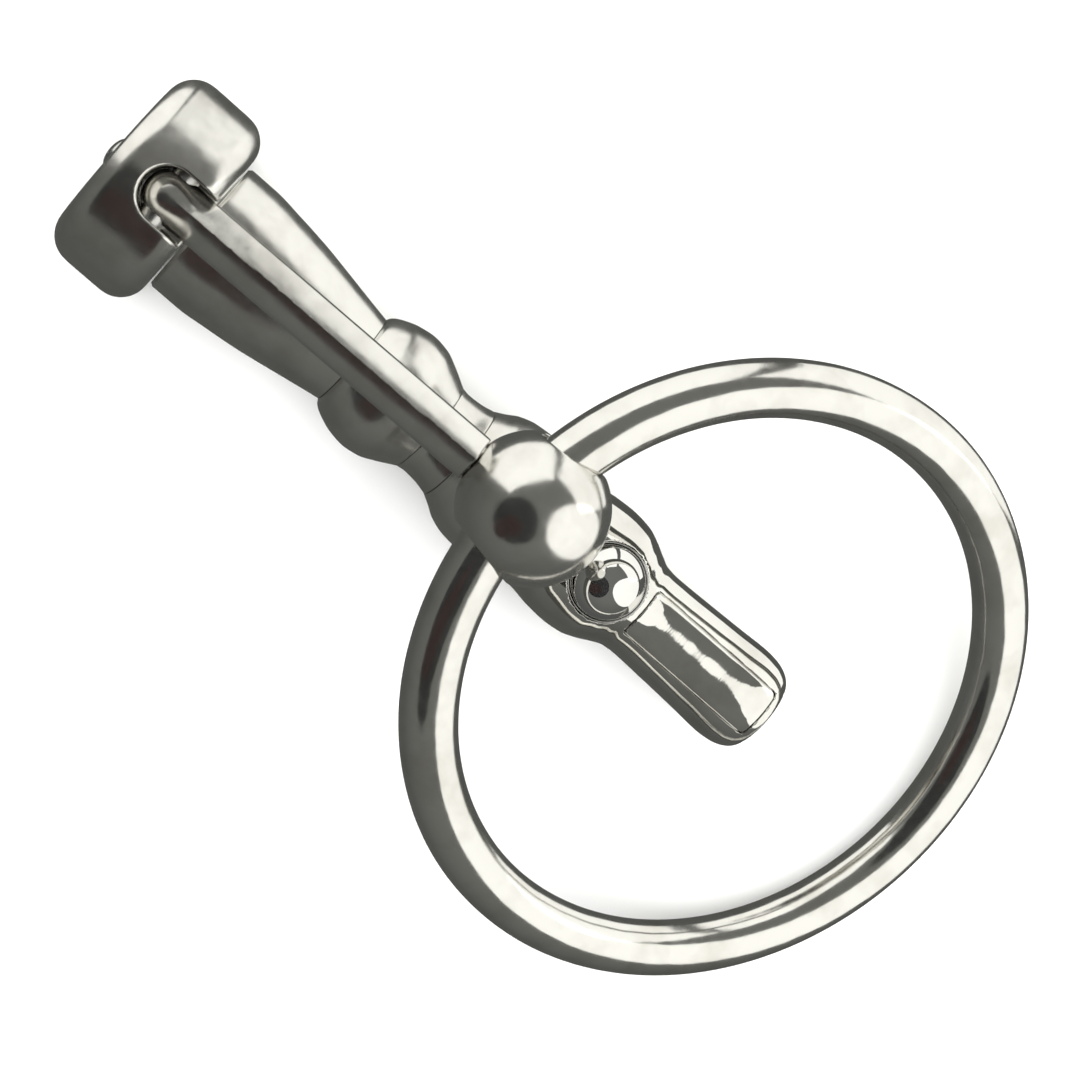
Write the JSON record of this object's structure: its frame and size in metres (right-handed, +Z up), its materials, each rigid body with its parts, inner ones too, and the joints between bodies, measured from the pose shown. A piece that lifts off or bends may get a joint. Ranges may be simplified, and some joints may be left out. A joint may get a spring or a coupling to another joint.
{
  "type": "radiator bleed key",
  "caption": "Turned metal bleed key with a square socket nose, a forked head, a hinged lever that ends in a ball, a sprung detent ball and a pull ring threaded through the lever's ball.",
  "frame": {"origin": "middle of the key's footprint on the surface it lies on", "axes": "+X along the turned body from the fork head to the nose, +Y crosswise along the hinge pin, +Z up out of the side the lever lies on"},
  "size_m": [0.0952, 0.0576, 0.0253],
  "materials": {
    "polished_nickel": "polished nickel plate, soft reflections",
    "mirror_nickel": "mirror polished nickel plate",
    "ring_nickel": "polished nickel-plated round wire",
    "ball_chrome": "mirror polished hard ball",
    "pin_steel": "turned steel, lightly polished",
    "spring_steel": "drawn spring wire"
  },
  "bodies": {
    "body": {"fork_head": "polished_nickel", "hinge_pin": "pin_steel", "tie_rod": "pin_steel", "shank": "polished_nickel", "bead": "polished_nickel", "neck_sleeve": "polished_nickel", "boss": "polished_nickel", "nose_barrel": "mirror_nickel", "nose_strip": "mirror_nickel", "detent_keeper": "pin_steel", "detent_spring": "spring_steel"},
    "lever": {"lever_arm": "polished_nickel", "lever_ball": "polished_nickel"},
    "ring": {"pull_ring": "ring_nickel"},
    "detent": {"detent_ball": "ball_chrome"}
  },
  "joints": [
    {"name": "lever_hinge", "type": "hinge", "parent": "body", "child": "lever", "pos_m": [-0.04139, -0.00024, 0.0155], "axis": [0, -1, 0], "range_deg": [0, 85]},
    {"name": "ring_swing", "type": "hinge", "parent": "lever", "child": "ring", "pos_m": [-0.00481, 0.00019, 0.01925], "axis": [0.0306, 0.9972, 0.0687], "continuous": true},
    {"name": "detent_slide", "type": "slide", "parent": "body", "child": "detent", "axis": [0, 0, -1], "range_m": [0, 0.0008], "stiffness_N_per_m": 300, "springref_m": -0.001, "deforming": ["detent_spring"]}
  ]
}
